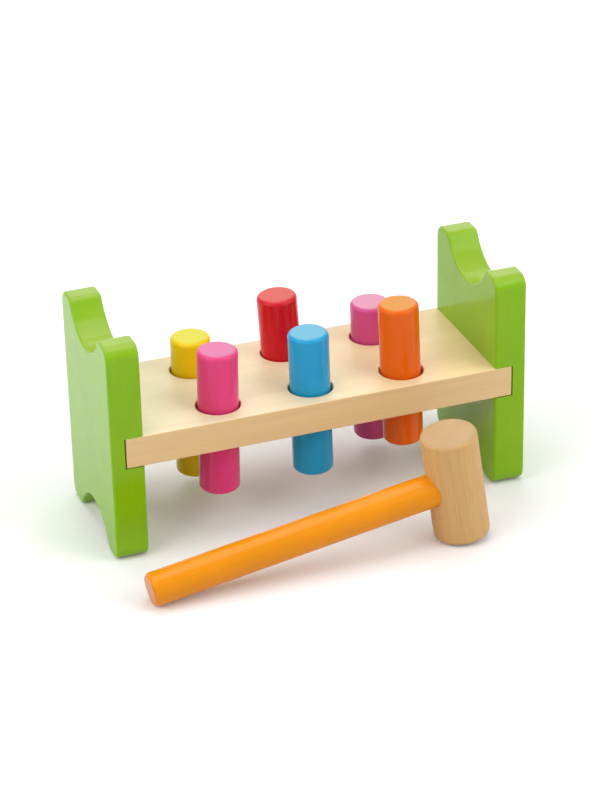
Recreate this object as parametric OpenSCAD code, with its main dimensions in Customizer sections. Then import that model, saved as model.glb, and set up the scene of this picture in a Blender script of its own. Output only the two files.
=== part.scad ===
// Peg pounding bench: a drilled board housed between two scooped end panels,
// six pegs held in their holes by rubber grip rings, and a mallet resting in front.
// Millimetres, +Z up. X runs along the bench and -Y is its front.
// The origin is on the table, at the centre of the ground that bench and mallet cover.

/* [Bench] */
// Length over the outer faces of the end panels
bench_l = 220; // [200:1:260]
// Depth of the board and of the end panels
bench_w = 77.5; // [74:0.5:100]
// Height of the end panels
bench_h = 117; // [110:0.5:140]

/* [End panels] */
// Thickness of an end panel
panel_t = 16.8; // [15:0.1:22]
// Radius of the four outer corners of a panel
corner_r = 6.3; // [4:0.1:9]
// Depth of the scoop in the top and bottom edges
scoop_depth = 15.5; // [8:0.5:18]
// Radius of the scoop
scoop_r = 26.1; // [20:0.1:29]
// Radius that eases the scoop into the horns beside it
scoop_ease_r = 4.5; // [2:0.5:5]
// Rounding along the edges of a panel
panel_edge_r = 1.3; // [0.5:0.1:1.8]

/* [Board] */
// Thickness of the board
board_t = 16.5; // [14:0.1:20]
// Height of the middle of the board above the middle of the panels
board_rise = 1.2; // [0:0.1:4]
// Rounding along the edges of the board
board_edge_r = 0.7; // [0.3:0.1:1.5]
// Length of each board end that sits in its panel
housing_depth = 9; // [6:0.5:10]
// Gap between the end of the board and the floor of its housing
housing_end_gap = 0.8; // [0.2:0.1:1.2]
// Gap between the underside of the board and its housing
housing_gap = 0.4; // [0.1:0.1:0.8]

/* [Pegs] */
// Diameter of a peg
peg_d = 20.7; // [18:0.1:22]
// Length of a peg
peg_l = 77; // [65:0.5:85]
// Rounding of the ends of a peg
peg_edge_r = 2.3; // [0.5:0.1:3]
// Gap all round between a peg and the wall of its hole
peg_gap = 1; // [0.75:0.05:1.8]
// Distance between pegs along the bench
peg_pitch = 49; // [42:0.5:54]
// Distance from the front and back edges of the board to the axes of the pegs beside them
row_edge = 17.8; // [16:0.1:20]
// Width of the chamfer at the mouths of a hole
mouth_chamfer = 0.4; // [0.2:0.1:0.8]

/* [Peg heights] */
// Height of the yellow peg above the board
yellow_up = 18.6; // [10:0.1:49]
// Height of the red peg above the board
red_up = 33.2; // [10:0.1:49]
// Height of the purple peg above the board
purple_up = 20; // [10:0.1:49]
// Height of the pink peg above the board
pink_up = 30.5; // [10:0.1:49]
// Height of the blue peg above the board
blue_up = 31; // [10:0.1:49]
// Height of the orange peg above the board
orange_up = 37.9; // [10:0.1:49]

/* [Peg lean] */
// Lean of the yellow peg in its loose hole, in degrees towards +X
yellow_lean = -0.4; // [-3.5:0.1:3.5]
// Lean of the red peg
red_lean = -3.2; // [-3.5:0.1:3.5]
// Lean of the purple peg
purple_lean = -1; // [-3.5:0.1:3.5]
// Lean of the pink peg
pink_lean = 1; // [-3.5:0.1:3.5]
// Lean of the blue peg
blue_lean = -1; // [-3.5:0.1:3.5]
// Lean of the orange peg
orange_lean = -1.9; // [-3.5:0.1:3.5]

/* [Grip rings] */
// Height of the rubber section of a grip ring
ring_h = 3.4; // [2.4:0.1:4.5]
// Width of the rubber section, from the peg outwards
ring_w = 3.4; // [2.4:0.1:4]
// Running gap between a ring's lip and its peg
grip_gap = 0.06; // [0.04:0.01:0.1]
// Play of a ring in its groove
groove_play = 0.1; // [0.05:0.05:0.3]

/* [Housing dowels] */
// Diameter of the dowels that pin the board in its housings
dowel_d = 6; // [4:0.5:8]
// Depth that a dowel reaches into the end panel, past the floor of the housing
dowel_in_panel = 4.2; // [2:0.1:4.5]
// Depth that a dowel reaches into the end of the board
dowel_in_board = 18; // [12:0.5:24]
// Distance between the two dowels of one end
dowel_pitch = 42; // [30:1:50]
// Chamfer on the ends of a dowel
dowel_chamfer = 0.8; // [0.3:0.1:1.2]

/* [Mallet] */
// Diameter of the mallet head
head_d = 28.6; // [24:0.2:34]
// Length of the mallet head
head_l = 58.4; // [48:0.2:70]
// Diameter of the handle
handle_d = 17.2; // [12:0.2:19]
// Reach of the handle, from the axis of the head to its free end
handle_reach = 163.5; // [130:0.5:180]
// Length of the handle past the axis of the head, in its blind socket
socket_past_axis = 7; // [4:0.5:8]
// Rounding of the mallet's edges
mallet_edge_r = 2.3; // [0.8:0.1:3]
// Place of the mallet head along the bench
mallet_x = 55.2; // [20:0.1:70]
// Distance from the front of the bench to the axis of the head
mallet_out = 38.3; // [30:0.1:60]
// Turn of the handle away from parallel with the bench, in degrees towards the front
mallet_turn = 2.1; // [-3:0.1:8]

/* [Fits] */
// Gap all round a glued round joint
glue_gap = 0.05; // [0.02:0.01:0.1]
// Gap past the end of a glued round joint
glue_end_gap = 0.3; // [0.1:0.1:0.5]

/* [Hidden] */
$fn = 64;
corner_steps = 9;
ease_steps = 5;
scoop_steps = 12;
edge_steps = 4;
// Length that a cut runs past the face it opens
overcut = 1;

WOOD = "#e6c893";
GREEN = "#86bb2b";
YELLOW = "#f2d516";
RED = "#c4232b";
PURPLE = "#c64f93";
PINK = "#e0508f";
BLUE = "#3f9cc6";
ORANGE = "#e06a1a";
AMBER = "#f0922a";
RUBBER = "#2c2a28";

board_z = bench_h / 2 + board_rise;
board_top = board_z + board_t / 2;
board_l = bench_l - 2 * panel_t + 2 * housing_depth;
row_pitch = bench_w - 2 * row_edge;
peg_r = peg_d / 2;
hole_r = peg_r + peg_gap;
ring_in_r = peg_r + grip_gap;
ring_out_r = ring_in_r + ring_w;
dowel_r = dowel_d / 2;
dowel_l = dowel_in_board + housing_end_gap + dowel_in_panel;

// Mallet at rest: the handle end and the near rim of the lower face both touch the table
head_r = head_d / 2;
handle_r = handle_d / 2;
mallet_tilt = atan((head_l / 2 - handle_r) / (handle_reach - head_r));
mallet_z = (head_r - mallet_edge_r) * sin(mallet_tilt)
         + (head_l / 2 - mallet_edge_r) * cos(mallet_tilt) + mallet_edge_r;
mallet_from_bench = -bench_w / 2 - mallet_out;

// Foremost points of the head and of the handle end, measured from the middle of the bench
head_lean_y = sin(mallet_tilt) * sin(mallet_turn);
head_front = mallet_from_bench - mallet_edge_r - abs(head_lean_y) * (head_l / 2 - mallet_edge_r)
           - sqrt(1 - pow(head_lean_y, 2)) * (head_r - mallet_edge_r);
handle_dir_y = -cos(mallet_tilt) * sin(mallet_turn);
handle_front = mallet_from_bench - mallet_edge_r + handle_dir_y * (handle_reach - mallet_edge_r)
             - sqrt(1 - pow(handle_dir_y, 2)) * (handle_r - mallet_edge_r);
bench_y = -(bench_w / 2 + min(head_front, handle_front)) / 2;

// Points of an arc about a centre, from one angle to another
function arc(centre, r, from, to, steps) =
    [for (i = [0 : steps]) let (a = from + (to - from) * i / steps) centre + r * [cos(a), sin(a)]];

// Quarter of a panel's outline, drawn in from the full outline by inset:
// round corner, horn, eased lip, then the scoop down to the middle
function panel_quarter(inset) =
    let (
        reach = scoop_r + scoop_ease_r,
        drop = scoop_r - scoop_depth + scoop_ease_r,
        lip_angle = asin(drop / reach),
        corner = [bench_w / 2 - corner_r, bench_h / 2 - corner_r],
        lip = [reach * cos(lip_angle), bench_h / 2 - scoop_ease_r],
        scoop = [0, bench_h / 2 - scoop_depth + scoop_r],
        scoop_arc = arc(scoop, scoop_r + inset, -lip_angle, -90, scoop_steps)
    )
    concat(
        arc(corner, corner_r - inset, 0, 90, corner_steps),
        arc(lip, scoop_ease_r - inset, 90, 180 - lip_angle, ease_steps),
        [for (i = [1 : scoop_steps]) scoop_arc[i]]
    );

// Whole outline: the quarter mirrored front to back and top to bottom
function panel_outline(inset) =
    let (q = panel_quarter(inset), last = len(q) - 1)
    concat(
        q,
        [for (i = [last - 1 : -1 : 0]) [-q[i].x, q[i].y]],
        [for (p = q) -p],
        [for (i = [last - 1 : -1 : 0]) [q[i].x, -q[i].y]]
    );

// Steps of the rounded edge: [distance from the middle of the thickness, inset of the outline]
function edge_round() =
    [for (i = [0 : edge_steps]) let (a = 90 * i / edge_steps)
        [panel_t / 2 - panel_edge_r * (1 - sin(a)), panel_edge_r * (1 - cos(a))]];

// Plate with a panel's outline and rounded edges, centred on its thickness.
// Each flat face is a fan of triangles about two points, one below each pair of horns
module scooped_plate() {
    half = edge_round();
    layers = concat(
        [for (i = [edge_steps : -1 : 0]) [-half[i][0], half[i][1]]],
        half
    );
    rings = [for (l = layers) [for (p = panel_outline(l[1])) [l[0], p.x, p.y]]];
    fan_y = bench_w / 2 - corner_r;
    fans = [for (x = [-panel_t / 2, panel_t / 2], y = [-fan_y, fan_y]) [x, y, 0]];
    n = len(rings[0]);
    last = len(rings) - 1;
    top = (n - 2) / 4;
    bottom = 3 * top + 1;
    fan = len(rings) * n;
    polyhedron(
        points = concat([for (r = rings) each r], fans),
        faces = concat(
            [for (k = [0 : last - 1], j = [0 : n - 1]) let (m = (j + 1) % n)
                each [[k * n + j, (k + 1) * n + j, k * n + m],
                      [k * n + m, (k + 1) * n + j, (k + 1) * n + m]]],
            [for (j = [0 : n - 1]) let (m = (j + 1) % n, side = j >= top && j < bottom ? 0 : 1)
                each [[j, m, fan + side], [last * n + m, last * n + j, fan + 2 + side]]],
            [[top, fan, fan + 1], [bottom, fan + 1, fan]],
            [[last * n + top, fan + 3, fan + 2], [last * n + bottom, fan + 2, fan + 3]]
        )
    );
}

// Revolved bar along +Z from the origin, with a rounding at each end
module rounded_bar(r, l, low_r, high_r) {
    rotate_extrude() {
        translate([0, low_r]) square([r, l - low_r - high_r]);
        square([r - low_r, l]);
        translate([0, low_r]) square([r - high_r, l - low_r]);
        intersection() {
            union() {
                translate([r - low_r, low_r]) circle(low_r);
                translate([r - high_r, l - high_r]) circle(high_r);
            }
            square([r, l]);
        }
    }
}

// Places the bench's own frame: its middle on the table
module on_bench() {
    translate([0, bench_y, 0]) children();
}

// Middle of a peg's hole in the board: column -1 to 1, row -1 front or 1 back
module at_hole(column, row) {
    on_bench() translate([column * peg_pitch, row * row_pitch / 2, board_z]) children();
}

// Runs its children for the hole of every peg
module at_every_hole() {
    for (column = [-1 : 1], row = [-1, 1]) at_hole(column, row) children();
}

// Floor of a housing, facing the board: side -1 left or 1 right, row -1 front or 1 back
module at_dowel(side, row) {
    on_bench()
        translate([side * (board_l / 2 + housing_end_gap), row * dowel_pitch / 2, board_z])
            rotate([0, side * 90, 0]) children();
}

// Hole through the board, with its chamfered mouths and the groove for the grip ring
module peg_hole() {
    cylinder(r = hole_r, h = board_t + 2 * overcut, center = true);
    cylinder(r = ring_out_r + groove_play, h = ring_h + groove_play, center = true);
    for (side = [0, 180]) rotate([side, 0, 0])
        translate([0, 0, board_t / 2 - mouth_chamfer])
            cylinder(r1 = hole_r, r2 = hole_r + 2 * mouth_chamfer, h = 2 * mouth_chamfer);
}

// Cross-section of the board, with rounded edges
module board_section() {
    y = bench_w / 2 - board_edge_r;
    z = board_t / 2 - board_edge_r;
    square([bench_w, 2 * z], center = true);
    square([2 * y, board_t], center = true);
    for (sy = [-y, y], sz = [-z, z]) translate([sy, sz]) circle(board_edge_r);
}

module peg_board() {
    color(WOOD) difference() {
        on_bench() translate([-board_l / 2, 0, board_z])
            rotate([90, 0, 90]) linear_extrude(board_l) board_section();
        at_every_hole() peg_hole();
        for (side = [-1, 1], row = [-1, 1]) at_dowel(side, row)
            translate([0, 0, -housing_end_gap - dowel_in_board - glue_end_gap])
                cylinder(r = dowel_r + glue_gap, h = dowel_in_board + housing_end_gap + glue_end_gap);
    }
}

// End panel: the scooped plate, less the housing for the board and its dowel sockets
module end_panel(side) {
    slot_h = board_t + housing_gap;
    slot_x = board_l / 2 + housing_end_gap;
    slot_l = housing_depth + housing_end_gap + overcut;
    color(GREEN) difference() {
        on_bench() translate([side * (bench_l - panel_t) / 2, 0, bench_h / 2]) scooped_plate();
        on_bench() translate([side * (slot_x - slot_l / 2), 0, board_top - slot_h / 2])
            cube([slot_l, bench_w + 2 * overcut, slot_h], center = true);
        for (row = [-1, 1]) at_dowel(side, row) translate([0, 0, -overcut])
            cylinder(r = dowel_r + glue_gap, h = dowel_in_panel + glue_end_gap + overcut);
    }
}

// Peg standing up out of its hole, leaning about the ring that grips it
module peg(column, row, up, lean, paint) {
    color(paint) at_hole(column, row) rotate([0, lean, 0])
        translate([0, 0, board_t / 2 + up - peg_l]) rounded_bar(peg_r, peg_l, peg_edge_r, peg_edge_r);
}

// Rubber ring with a round lip towards the peg and a square back, lying in its groove
module grip_ring(column, row) {
    lip_r = ring_h / 2;
    color(RUBBER) at_hole(column, row) translate([0, 0, -groove_play / 2]) rotate_extrude() {
        translate([ring_in_r + lip_r, 0]) circle(lip_r);
        translate([ring_in_r + lip_r, -lip_r]) square([ring_w - lip_r, ring_h]);
    }
}

// Dowel bar, chamfered at both ends, from the floor of the housing into board and panel
module housing_dowel(side, row) {
    color(WOOD) at_dowel(side, row) translate([0, 0, dowel_in_panel - dowel_l]) {
        cylinder(r1 = dowel_r - dowel_chamfer, r2 = dowel_r, h = dowel_chamfer);
        translate([0, 0, dowel_chamfer]) cylinder(r = dowel_r, h = dowel_l - 2 * dowel_chamfer);
        translate([0, 0, dowel_l - dowel_chamfer])
            cylinder(r1 = dowel_r, r2 = dowel_r - dowel_chamfer, h = dowel_chamfer);
    }
}

// Mallet's own frame: the head's axis is Z and the handle runs to -X, crossing at the origin
module at_mallet() {
    on_bench() translate([mallet_x, mallet_from_bench, mallet_z])
        rotate([0, 0, mallet_turn]) rotate([0, -mallet_tilt, 0]) children();
}

module mallet_head() {
    color(WOOD) at_mallet() difference() {
        translate([0, 0, -head_l / 2]) rounded_bar(head_r, head_l, mallet_edge_r, mallet_edge_r);
        translate([socket_past_axis + glue_end_gap, 0, 0]) rotate([0, -90, 0])
            cylinder(r = handle_r + glue_gap, h = socket_past_axis + glue_end_gap + head_d);
    }
}

module mallet_handle() {
    color(AMBER) at_mallet() translate([socket_past_axis, 0, 0]) rotate([0, -90, 0])
        rounded_bar(handle_r, handle_reach + socket_past_axis, mallet_edge_r / 2, mallet_edge_r);
}

peg_board();
end_panel(-1);  // left_end_panel
end_panel(1);  // right_end_panel
peg(-1, 1, yellow_up, yellow_lean, YELLOW);  // yellow_peg
peg(0, 1, red_up, red_lean, RED);  // red_peg
peg(1, 1, purple_up, purple_lean, PURPLE);  // purple_peg
peg(-1, -1, pink_up, pink_lean, PINK);  // pink_peg
peg(0, -1, blue_up, blue_lean, BLUE);  // blue_peg
peg(1, -1, orange_up, orange_lean, ORANGE);  // orange_peg
grip_ring(-1, 1);  // yellow_grip_ring
grip_ring(0, 1);  // red_grip_ring
grip_ring(1, 1);  // purple_grip_ring
grip_ring(-1, -1);  // pink_grip_ring
grip_ring(0, -1);  // blue_grip_ring
grip_ring(1, -1);  // orange_grip_ring
housing_dowel(-1, -1);  // left_front_dowel
housing_dowel(-1, 1);  // left_back_dowel
housing_dowel(1, -1);  // right_front_dowel
housing_dowel(1, 1);  // right_back_dowel
mallet_head();
mallet_handle();
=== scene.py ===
"""Looks of the peg pounding bench: finishes for every CAD node, and a plain white studio round it."""

import math

import bpy
import numpy as np
from mathutils import Matrix, Vector


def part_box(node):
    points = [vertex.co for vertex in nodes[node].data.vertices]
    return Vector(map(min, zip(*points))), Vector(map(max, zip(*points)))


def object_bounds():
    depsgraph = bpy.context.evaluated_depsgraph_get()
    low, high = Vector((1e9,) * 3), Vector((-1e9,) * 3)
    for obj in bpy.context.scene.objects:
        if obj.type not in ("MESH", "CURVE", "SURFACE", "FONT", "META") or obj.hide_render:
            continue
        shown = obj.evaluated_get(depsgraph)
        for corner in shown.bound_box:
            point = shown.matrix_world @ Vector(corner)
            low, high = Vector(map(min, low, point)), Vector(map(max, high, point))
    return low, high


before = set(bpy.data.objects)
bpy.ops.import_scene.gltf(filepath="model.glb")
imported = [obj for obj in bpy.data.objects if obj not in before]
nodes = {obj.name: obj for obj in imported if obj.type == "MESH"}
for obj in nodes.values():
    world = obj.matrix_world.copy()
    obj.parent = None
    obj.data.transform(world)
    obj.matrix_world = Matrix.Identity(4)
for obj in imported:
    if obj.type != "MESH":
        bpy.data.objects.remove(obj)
CAD_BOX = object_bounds()

# Camera: where the photograph was taken from, in metres and degrees
PHOTO_HEIGHT_PX = 800
FOCAL_PX = 2843.0
SENSOR_MM = 36.0
CAMERA_PLACE = Vector((-0.4261, -1.1851, 0.7284))
CAMERA_AZIMUTH = -19.45
CAMERA_ELEVATION = 27.84
CAMERA_ROLL = -1.37

# Studio light: radiance 1 is white; azimuth 0 is in front of the object and 90 on its right
WHITE = 1.0
AMBIENT = 0.3
SOFTBOX_DISTANCE = 1.5
SOFTBOXES = {
    "overhead_softbox": {"azimuth": 180, "elevation": 82, "size": (1.0, 1.3), "radiance": 2.4},
    "right_softbox": {"azimuth": 50, "elevation": 36, "size": (1.0, 1.2), "radiance": 2.5},
    "left_softbox": {"azimuth": 283, "elevation": 36, "size": (1.3, 0.8), "radiance": 3.1},
    "back_softbox": {"azimuth": 160, "elevation": 34, "size": (1.5, 0.9), "radiance": 1.0},
}

# Floor: its size and its gap below the object in metres, the shares of light that it gives back to
# the object and that it shows, and the glow by which it fades to white between two distances in metres
FLOOR_SIZE = 12.0
FLOOR_DROP = 0.0002
FLOOR_BOUNCE = 0.75
FLOOR_SEEN = 0.94
FLOOR_GLOW = (0.06, 0.8)
FLOOR_FADE = (0.14, 0.9)

# Paints as sRGB hex: along the grain, and on the ends across it. The pegs' paler tops and the panels'
# paler upward faces are painted sheen and top light; the handle's end is darker
PEG_PAINTS = {
    "yellow_peg": ("#f4c903", "#d7ce03"),
    "red_peg": ("#d21424", "#ce4738"),
    "purple_peg": ("#d3528f", "#d48aa6"),
    "pink_peg": ("#eb4382", "#d56c9a"),
    "blue_peg": ("#23a0d3", "#5daecd"),
    "orange_peg": ("#ed6503", "#d58703"),
}
PANEL_PAINT = ("#8cc012", "#95b634")
HANDLE_PAINT = ("#f29403", "#de7d03")

# Woods: the pale and dark tones, as sRGB hex, of the sides that look up or down and of the others, the
# width of a year ring and the pith's place across the fibres in metres, the strength of the ray flecks,
# the roughness, and the painted warm bounce light that the lying sides take towards one end
NO_PAINTED_BOUNCE = "#ffffff"
HEAD_SIDE = ("#e0b273", "#c7975b")
WOODS = {
    "board_wood": {
        "lying": ("#f3e5c0", "#e6d3ac"),
        "standing": ("#f1ce96", "#ddbd8a"),
        "ring_width": 0.006,
        "pith": (0.02, 0.09),
        "flecks": 0.1,
        "roughness": 0.3,
        # Painted warm bounce light on the board's top towards one end
        "painted_bounce": "#fff0dc",
    },
    "mallet_wood": {
        "lying": ("#cca878", "#b9986d"),
        "standing": HEAD_SIDE,
        "ring_width": 0.004,
        "pith": (0.03, 0.01),
        "flecks": 0.32,
        "roughness": 0.45,
        "painted_bounce": NO_PAINTED_BOUNCE,
    },
    "dowel_wood": {
        "lying": HEAD_SIDE,
        "standing": HEAD_SIDE,
        "ring_width": 0.003,
        "pith": (0.01, 0.0),
        "flecks": 0.4,
        "roughness": 0.6,
        "painted_bounce": NO_PAINTED_BOUNCE,
    },
}

# Noise patterns: scale per metre, and how far each is drawn out along the fibres
PAINT_CLOUD = {"scale": 45}
PAINT_FIBRE = {"scale": 900, "stretch": 24, "detail": 3}
PAINT_PEEL = {"scale": 420, "detail": 1}
WOOD_SWAY = {"scale": 30, "stretch": 6}
WOOD_FIBRE = {"scale": 1100, "stretch": 30, "detail": 3, "roughness": 0.6}
WOOD_BAND = {"scale": 120, "stretch": 14}
WOOD_FLECK = {"scale": 750, "stretch": 9, "detail": 1}
RUBBER_GRAIN = {"scale": 1500}
# The stretch of a noise's values that holds most of them, and a wider one
NOISE_SPAN = (0.3, 0.7)
NOISE_WIDE_SPAN = (0.25, 0.75)

# Where the end tone starts and is full, as the cosine between the surface's normal and the fibres:
# at the flat end of a turned piece, and round a panel's scoop. On the pegs' tops and the panels' upward
# faces that tone is painted sheen and top light; in the woods the first span keeps ray flecks off the
# end grain
TURNED_END = (0.84, 0.99)
PANEL_SHEEN_SPAN = (0.45, 1.0)

# Lacquer: how much clouds and fibres change its brightness, the fibres' share in its relief, its gloss
PAINT_CLOUD_VALUE = (0.96, 1.03)
PAINT_FIBRE_VALUE = (-0.02, 0.02)
PAINT_FIBRE_RELIEF = 0.5
LACQUER_ROUGHNESS = (0.14, 0.2)
LACQUER_IOR = 1.3

# Wood: how far rings sway, in ring widths, how they darken towards the end of the year, what each
# pattern adds to the share of the dark tone, and the noise values between which a fleck comes in
SWAY_RINGS = 1.6
RING_STEEPNESS = 2.5
RING_SHADE = 0.2
FIBRE_SHADE = (-0.08, 0.2)
BAND_SHADE = (-0.05, 0.3)
FLECK_SPAN = (0.62, 0.72)
# Where a side starts to count as lying and fully does, as the height of its normal
LYING_SPAN = (0.5, 0.9)
# Where the painted warm bounce light starts and is full, in metres along the fibres from the piece's
# middle
PAINTED_BOUNCE_SPAN = (-0.05, 0.09)
# The roughness that the fibres add, and the refraction of the clear coat
WOOD_ROUGHNESS_SPREAD = 0.12
WOOD_IOR = 1.4

# Rubber: the two tones of its grain, as sRGB hex, and its roughness
RUBBER_TONES = ("#232120", "#38332f")
RUBBER_ROUGHNESS = (0.6, 0.75)

# Depths of relief and the distance at which points are welded, in metres
FINE_BUMP = 0.00001
RUBBER_BUMP = 0.00003
WELD_DISTANCE = 0.00002
# Edges that bend more than this stay sharp, in degrees
SHARP_BEND = 35

# The sRGB curve: a straight start, and a power above it
SRGB_START = 0.04045
SRGB_SLOPE = 12.92
SRGB_OFFSET = 0.055
SRGB_POWER = 2.4

# Sockets of a Mix node that mixes colours
MIX_SHARE = 0
MIX_FIRST = 6
MIX_SECOND = 7
MIX_RESULT = 2


def linear(hex_colour):
    """Scene-linear RGBA of an sRGB hex colour."""
    channels = [int(hex_colour[i:i + 2], 16) / 255 for i in (1, 3, 5)]
    light = [
        c / SRGB_SLOPE if c <= SRGB_START else ((c + SRGB_OFFSET) / (1 + SRGB_OFFSET)) ** SRGB_POWER
        for c in channels
    ]
    return light + [1.0]


def add(tree, kind, inputs=None, **settings):
    """New node with its settings, its inputs set or linked from another node's output."""
    node = tree.nodes.new(kind)
    for name, value in settings.items():
        setattr(node, name, value)
    for key, value in (inputs or {}).items():
        if isinstance(value, bpy.types.NodeSocket):
            tree.links.new(value, node.inputs[key])
        else:
            node.inputs[key].default_value = value
    return node


def sums(tree, operation, first, second=0.0):
    """Output of a Math node on one or two numbers or sockets."""
    return add(tree, "ShaderNodeMath", {0: first, 1: second}, operation=operation).outputs[0]


def vector_sums(tree, operation, first, second=(0, 0, 0)):
    """Outputs, Vector and Value, of a Vector Math node on one or two vectors or sockets."""
    return add(tree, "ShaderNodeVectorMath", {0: first, 1: second}, operation=operation).outputs


def ranged(tree, value, low, high, to_low=0, to_high=1):
    """value from low to high, mapped and clamped to another range."""
    inputs = {"Value": value, "From Min": low, "From Max": high, "To Min": to_low, "To Max": to_high}
    return add(tree, "ShaderNodeMapRange", inputs).outputs[0]


def blended(tree, share, first, second, mode="MIX"):
    """Colour mixed from first to second by share."""
    inputs = {MIX_SHARE: share, MIX_FIRST: first, MIX_SECOND: second}
    return add(tree, "ShaderNodeMix", inputs, data_type="RGBA", blend_type=mode).outputs[MIX_RESULT]


def noise(tree, place, scale, stretch=1, detail=2.0, roughness=0.5):
    """Noise texture's value, from 0 to 1, at a place in metres, drawn out along the place's X."""
    squeezed = add(tree, "ShaderNodeMapping", {"Vector": place, "Scale": (1 / stretch, 1, 1)}).outputs[0]
    inputs = {"Vector": squeezed, "Scale": scale, "Detail": detail, "Roughness": roughness}
    return add(tree, "ShaderNodeTexNoise", inputs).outputs[0]


def long_axis(node):
    """Unit vector along a node's longest way, from the spread of its vertices."""
    points = np.array([v.co for v in node.data.vertices])
    spread = np.cov((points - points.mean(0)).T)
    axis = np.linalg.eigh(spread)[1][:, -1]
    return Vector(axis * np.sign(axis[np.argmax(abs(axis))]))


def fibre_place(tree, node):
    """A point on the piece, in metres from the piece's middle, with X along its wood's fibres."""
    low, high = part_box(node.name)
    turn = long_axis(node).rotation_difference(Vector((1, 0, 0))).to_matrix()
    inputs = {
        "Vector": add(tree, "ShaderNodeTexCoord").outputs["Object"],
        "Location": turn @ (low + high) / -2,
        "Rotation": turn.to_euler(),
    }
    return add(tree, "ShaderNodeMapping", inputs).outputs[0]


def end_share(tree, node, span):
    """1 on the piece's ends, across the fibres, and 0 along its sides."""
    normal = add(tree, "ShaderNodeTexCoord").outputs["Normal"]
    along = vector_sums(tree, "DOT_PRODUCT", normal, long_axis(node))["Value"]
    return ranged(tree, sums(tree, "ABSOLUTE", along), *span)


def new_material(name):
    """Empty node material with its tree and its Principled shader."""
    material = bpy.data.materials.new(name)
    material.use_nodes = True
    tree = material.node_tree
    return material, tree, tree.nodes["Principled BSDF"]


def bumped(tree, shader, height, depth):
    """Gives the shader a bump of that depth in metres."""
    bump = add(tree, "ShaderNodeBump", {"Height": height, "Distance": depth, "Strength": 1.0})
    tree.links.new(bump.outputs[0], shader.inputs["Normal"])


def lacquer(name, node, side, end, end_span=TURNED_END):
    """Glossy paint on wood: slight unevenness, faint fibres below and another tone on the ends, which on
    the pegs' tops and the panels' upward faces is painted sheen and top light.
    """
    material, tree, shader = new_material(name)
    place = fibre_place(tree, node)
    cloud = noise(tree, place, **PAINT_CLOUD)
    fibre = noise(tree, place, **PAINT_FIBRE)
    peel = noise(tree, place, **PAINT_PEEL)
    clouded = ranged(tree, cloud, *NOISE_SPAN, *PAINT_CLOUD_VALUE)
    value = sums(tree, "ADD", clouded, ranged(tree, fibre, *NOISE_SPAN, *PAINT_FIBRE_VALUE))
    # On the pegs' tops and the panels' upward faces this end tone is painted sheen and top light
    paint = blended(tree, end_share(tree, node, end_span), linear(side), linear(end))
    tone = add(tree, "ShaderNodeHueSaturation", {"Value": value, "Color": paint})
    tree.links.new(tone.outputs[0], shader.inputs["Base Color"])
    tree.links.new(ranged(tree, cloud, *NOISE_SPAN, *LACQUER_ROUGHNESS), shader.inputs["Roughness"])
    shader.inputs["IOR"].default_value = LACQUER_IOR
    relief = sums(tree, "ADD", peel, sums(tree, "MULTIPLY", fibre, PAINT_FIBRE_RELIEF))
    bumped(tree, shader, relief, FINE_BUMP)
    return material


def year_rings(tree, place, ring_width, pith):
    """From 0 at the start of a year ring to 1 at its end, round a swaying pith line along the fibres."""
    from_pith = vector_sums(tree, "SUBTRACT", place, (0, *pith))["Vector"]
    across = vector_sums(tree, "MULTIPLY", from_pith, (0, 1, 1))["Vector"]
    radius = vector_sums(tree, "LENGTH", across)["Value"]
    sway = sums(tree, "MULTIPLY", noise(tree, place, **WOOD_SWAY), SWAY_RINGS * ring_width)
    years = sums(tree, "DIVIDE", sums(tree, "ADD", radius, sway), ring_width)
    return sums(tree, "POWER", sums(tree, "FRACT", years), RING_STEEPNESS)


def wood(name, node, lying, standing, ring_width, pith, flecks, roughness, painted_bounce):
    """Clear-coated wood: year rings, fine fibres, broad bands and short ray flecks off the end grain."""
    material, tree, shader = new_material(name)
    place = fibre_place(tree, node)
    fibre = noise(tree, place, **WOOD_FIBRE)
    spots = ranged(tree, noise(tree, place, **WOOD_FLECK), *FLECK_SPAN)
    fleck = sums(tree, "SUBTRACT", spots, end_share(tree, node, TURNED_END))
    shades = [
        ranged(tree, fibre, *NOISE_WIDE_SPAN, *FIBRE_SHADE),
        ranged(tree, noise(tree, place, **WOOD_BAND), *NOISE_SPAN, *BAND_SHADE),
        sums(tree, "MULTIPLY", sums(tree, "MAXIMUM", fleck), flecks),
    ]
    shade = sums(tree, "MULTIPLY", year_rings(tree, place, ring_width, pith), RING_SHADE)
    for added in shades:
        shade = sums(tree, "ADD", shade, added)
    share = ranged(tree, shade, 0, 1)
    upright_tone = blended(tree, share, *(linear(tone) for tone in standing))
    lying_tone = blended(tree, share, *(linear(tone) for tone in lying))
    along = add(tree, "ShaderNodeSeparateXYZ", {0: place}).outputs["X"]
    # Painted warm bounce light: the lying sides turn warmer towards one end
    lying_tone = blended(tree, ranged(tree, along, *PAINTED_BOUNCE_SPAN), lying_tone, linear(painted_bounce), "MULTIPLY")
    normal = add(tree, "ShaderNodeTexCoord").outputs["Normal"]
    height = sums(tree, "ABSOLUTE", add(tree, "ShaderNodeSeparateXYZ", {0: normal}).outputs["Z"])
    tone = blended(tree, ranged(tree, height, *LYING_SPAN), upright_tone, lying_tone)
    tree.links.new(tone, shader.inputs["Base Color"])
    matt = ranged(tree, fibre, *NOISE_SPAN, roughness, roughness + WOOD_ROUGHNESS_SPREAD)
    tree.links.new(matt, shader.inputs["Roughness"])
    shader.inputs["IOR"].default_value = WOOD_IOR
    relief = sums(tree, "SUBTRACT", fibre, sums(tree, "MULTIPLY", fleck, flecks))
    bumped(tree, shader, relief, FINE_BUMP)
    return material


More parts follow.
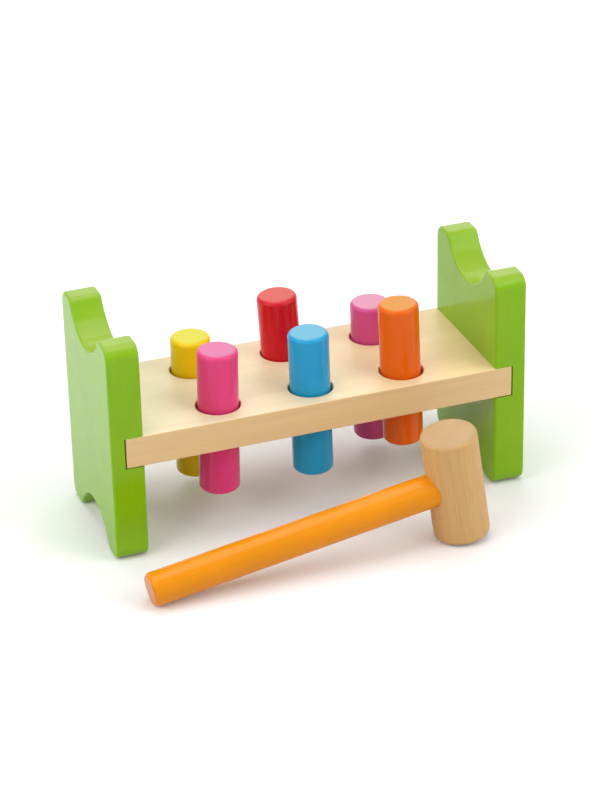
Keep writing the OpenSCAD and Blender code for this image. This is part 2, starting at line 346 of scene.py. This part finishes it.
def rubber(name):
    """Matt rubber with a fine moulded grain."""
    material, tree, shader = new_material(name)
    grain = noise(tree, add(tree, "ShaderNodeTexCoord").outputs["Object"], **RUBBER_GRAIN)
    tone = blended(tree, grain, *(linear(tone) for tone in RUBBER_TONES))
    tree.links.new(tone, shader.inputs["Base Color"])
    tree.links.new(ranged(tree, grain, *NOISE_SPAN, *RUBBER_ROUGHNESS), shader.inputs["Roughness"])
    bumped(tree, shader, grain, RUBBER_BUMP)
    return material


def dress(node, material):
    """Puts a material on a CAD node."""
    node.material_slots[0].material = material


def smooth_rounds(node):
    """Smooth shading on the faceted rounds of a node, with its flats flat and its cut edges sharp."""
    tree = bpy.data.node_groups.new("smooth_rounds", "GeometryNodeTree")
    tree.interface.new_socket("Geometry", in_out="INPUT", socket_type="NodeSocketGeometry")
    tree.interface.new_socket("Geometry", in_out="OUTPUT", socket_type="NodeSocketGeometry")
    start = add(tree, "NodeGroupInput").outputs[0]
    near = {"Geometry": start, "Distance": WELD_DISTANCE}
    welded = add(tree, "GeometryNodeMergeByDistance", near).outputs[0]
    old_normals = {"Geometry": welded, "Name": "custom_normal"}
    bare = add(tree, "GeometryNodeRemoveAttribute", old_normals).outputs[0]
    soft = {"Geometry": bare, "Shade Smooth": True}
    faces = add(tree, "GeometryNodeSetShadeSmooth", soft, domain="FACE").outputs[0]
    soft = {"Geometry": faces, "Shade Smooth": True}
    edges = add(tree, "GeometryNodeSetShadeSmooth", soft, domain="EDGE").outputs[0]
    bend = add(tree, "GeometryNodeInputMeshEdgeAngle").outputs[0]
    sharp = sums(tree, "GREATER_THAN", bend, math.radians(SHARP_BEND))
    cut = {"Geometry": edges, "Selection": sharp, "Shade Smooth": False}
    corners = add(tree, "GeometryNodeSetShadeSmooth", cut, domain="EDGE").outputs[0]
    add(tree, "NodeGroupOutput", {0: corners})
    node.modifiers.new("smooth_rounds", "NODES").node_group = tree
    weighted = node.modifiers.new("flat_faces", "WEIGHTED_NORMAL")
    weighted.keep_sharp = True


def make_finishes():
    """Materials of every node."""
    for name, paints in PEG_PAINTS.items():
        dress(nodes[name], lacquer(name.replace("peg", "lacquer"), nodes[name], *paints))
    for side in ("left", "right"):
        panel = nodes[side + "_end_panel"]
        # The panels' paler tone on faces that look up, round the scoop, is painted sheen
        dress(panel, lacquer("green_lacquer_" + side, panel, *PANEL_PAINT, PANEL_SHEEN_SPAN))
        smooth_rounds(panel)
    handle = nodes["mallet_handle"]
    dress(handle, lacquer("handle_lacquer", handle, *HANDLE_PAINT))
    # The four hidden dowels share the wood of one of them
    wooden = {"board_wood": "peg_board", "mallet_wood": "mallet_head", "dowel_wood": "left_front_dowel"}
    woods = {name: wood(name, nodes[piece], **WOODS[name]) for name, piece in wooden.items()}
    dress(nodes["peg_board"], woods["board_wood"])
    dress(nodes["mallet_head"], woods["mallet_wood"])
    grip = rubber("grip_rubber")
    for name, node in nodes.items():
        if name.endswith("_dowel"):
            dress(node, woods["dowel_wood"])
        if name.endswith("_grip_ring"):
            dress(node, grip)


def seen_ray(tree):
    """1 on the rays that show the studio itself: to the camera, in gloss and through glass."""
    path = add(tree, "ShaderNodeLightPath").outputs
    glossy = sums(tree, "MAXIMUM", path["Is Glossy Ray"], path["Is Transmission Ray"])
    return sums(tree, "MAXIMUM", path["Is Camera Ray"], glossy)


def make_world():
    """Even light all round, which shows as white."""
    world = bpy.data.worlds.new("studio")
    bpy.context.scene.world = world
    world.use_nodes = True
    tree = world.node_tree
    strength = ranged(tree, seen_ray(tree), 0, 1, AMBIENT, WHITE)
    tree.links.new(strength, tree.nodes["Background"].inputs["Strength"])
    tree.nodes["Background"].inputs["Color"].default_value = (1, 1, 1, 1)


def make_floor():
    """White floor that keeps the object's shadow."""
    half = FLOOR_SIZE / 2
    sides = ((-half, -half), (half, -half), (half, half), (-half, half))
    mesh = bpy.data.meshes.new("floor")
    mesh.from_pydata([(x, y, -FLOOR_DROP) for x, y in sides], [], [(0, 1, 2, 3)])
    floor = bpy.data.objects.new("floor", mesh)
    bpy.context.scene.collection.objects.link(floor)
    material, tree, shader = new_material("floor_white")
    tree.nodes.remove(shader)
    place = add(tree, "ShaderNodeTexCoord").outputs["Object"]
    distance = vector_sums(tree, "LENGTH", place)["Value"]
    seen = seen_ray(tree)
    white = ranged(tree, seen, 0, 1, FLOOR_BOUNCE, FLOOR_SEEN)
    fading = ranged(tree, distance, *FLOOR_FADE, *FLOOR_GLOW)
    matt = add(tree, "ShaderNodeBsdfDiffuse", {"Color": white}).outputs[0]
    glow = add(tree, "ShaderNodeEmission", {"Strength": sums(tree, "MULTIPLY", seen, fading)}).outputs[0]
    both = add(tree, "ShaderNodeAddShader", {0: matt, 1: glow}).outputs[0]
    tree.links.new(both, tree.nodes["Material Output"].inputs["Surface"])
    mesh.materials.append(material)


def make_lights():
    """Softboxes of a known radiance, turned to the middle of the object."""
    middle = (CAD_BOX[0] + CAD_BOX[1]) / 2
    for name, box in SOFTBOXES.items():
        width, height = box["size"]
        azimuth, elevation = math.radians(box["azimuth"]), math.radians(box["elevation"])
        way = Vector((math.sin(azimuth), -math.cos(azimuth), math.tan(elevation))).normalized()
        data = bpy.data.lights.new(name, "AREA")
        data.shape = "RECTANGLE"
        data.size, data.size_y = width, height
        data.energy = box["radiance"] * math.pi * width * height
        light = bpy.data.objects.new(name, data)
        light.location = middle + SOFTBOX_DISTANCE * way
        light.rotation_euler = (-way).to_track_quat("-Z", "Y").to_euler()
        light.visible_camera = False
        bpy.context.scene.collection.objects.link(light)


def make_camera():
    """Camera at the photograph's place, angle and focal length."""
    azimuth, elevation, roll = (math.radians(a) for a in (CAMERA_AZIMUTH, CAMERA_ELEVATION, CAMERA_ROLL))
    flat = math.cos(elevation)
    back = Vector((math.sin(azimuth) * flat, -math.cos(azimuth) * flat, math.sin(elevation)))
    right = Vector((math.cos(azimuth), math.sin(azimuth), 0))
    level = Matrix((right, back.cross(right), back)).transposed()
    turn = level @ Matrix.Rotation(roll, 3, "Z")
    data = bpy.data.cameras.new("camera")
    data.sensor_width = SENSOR_MM
    data.lens = FOCAL_PX * SENSOR_MM / PHOTO_HEIGHT_PX
    camera = bpy.data.objects.new("camera", data)
    camera.matrix_world = Matrix.Translation(CAMERA_PLACE) @ turn.to_4x4()
    bpy.context.scene.collection.objects.link(camera)
    bpy.context.scene.camera = camera


make_finishes()
make_world()
make_floor()
make_lights()
make_camera()
bpy.context.scene.view_settings.view_transform = "Standard"
